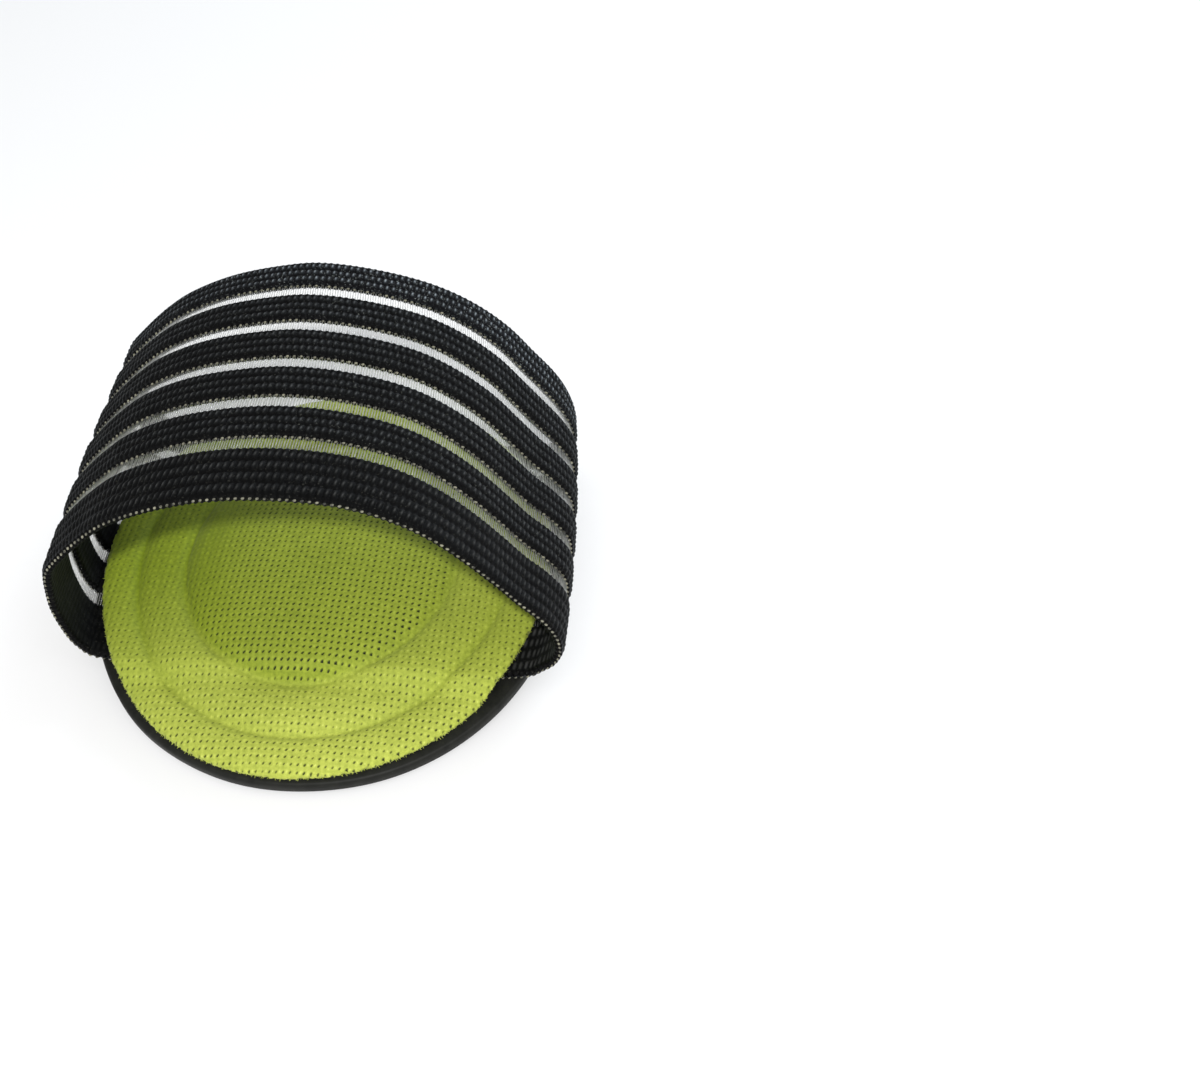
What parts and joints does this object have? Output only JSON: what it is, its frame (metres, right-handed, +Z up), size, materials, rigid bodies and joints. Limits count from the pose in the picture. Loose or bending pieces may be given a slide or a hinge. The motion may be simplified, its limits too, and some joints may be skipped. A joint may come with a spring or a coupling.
{
  "type": "arch support sleeve",
  "caption": "Slip-on sleeve for the arch of the foot: a soft oval mesh-covered cushion on a thin rubber sole, held by a wide striped elastic band that loops over the foot.",
  "frame": {"origin": "middle of the sole's flat underside, on the surface the sleeve stands on", "axes": "+X across the foot to the right seen from the open front, +Y along the foot to the band's back edge, +Z up"},
  "size_m": [0.0941, 0.0973, 0.0509],
  "materials": {
    "sole_rubber": "smooth matte foam rubber",
    "cushion_mesh": "open knitted mesh over foam",
    "elastic_rib": "braided elastic",
    "sheer_web": "fine see-through threads"
  },
  "bodies": {
    "root": {"sole_base": "sole_rubber", "mesh_cushion": "cushion_mesh", "band_rib_1": "elastic_rib", "band_rib_2": "elastic_rib", "band_rib_3": "elastic_rib", "band_rib_4": "elastic_rib", "band_rib_5": "elastic_rib", "band_rib_6": "elastic_rib", "sheer_strip_1": "sheer_web", "sheer_strip_2": "sheer_web", "sheer_strip_3": "sheer_web", "sheer_strip_4": "sheer_web", "sheer_strip_5": "sheer_web"}
  },
  "joints": []
}
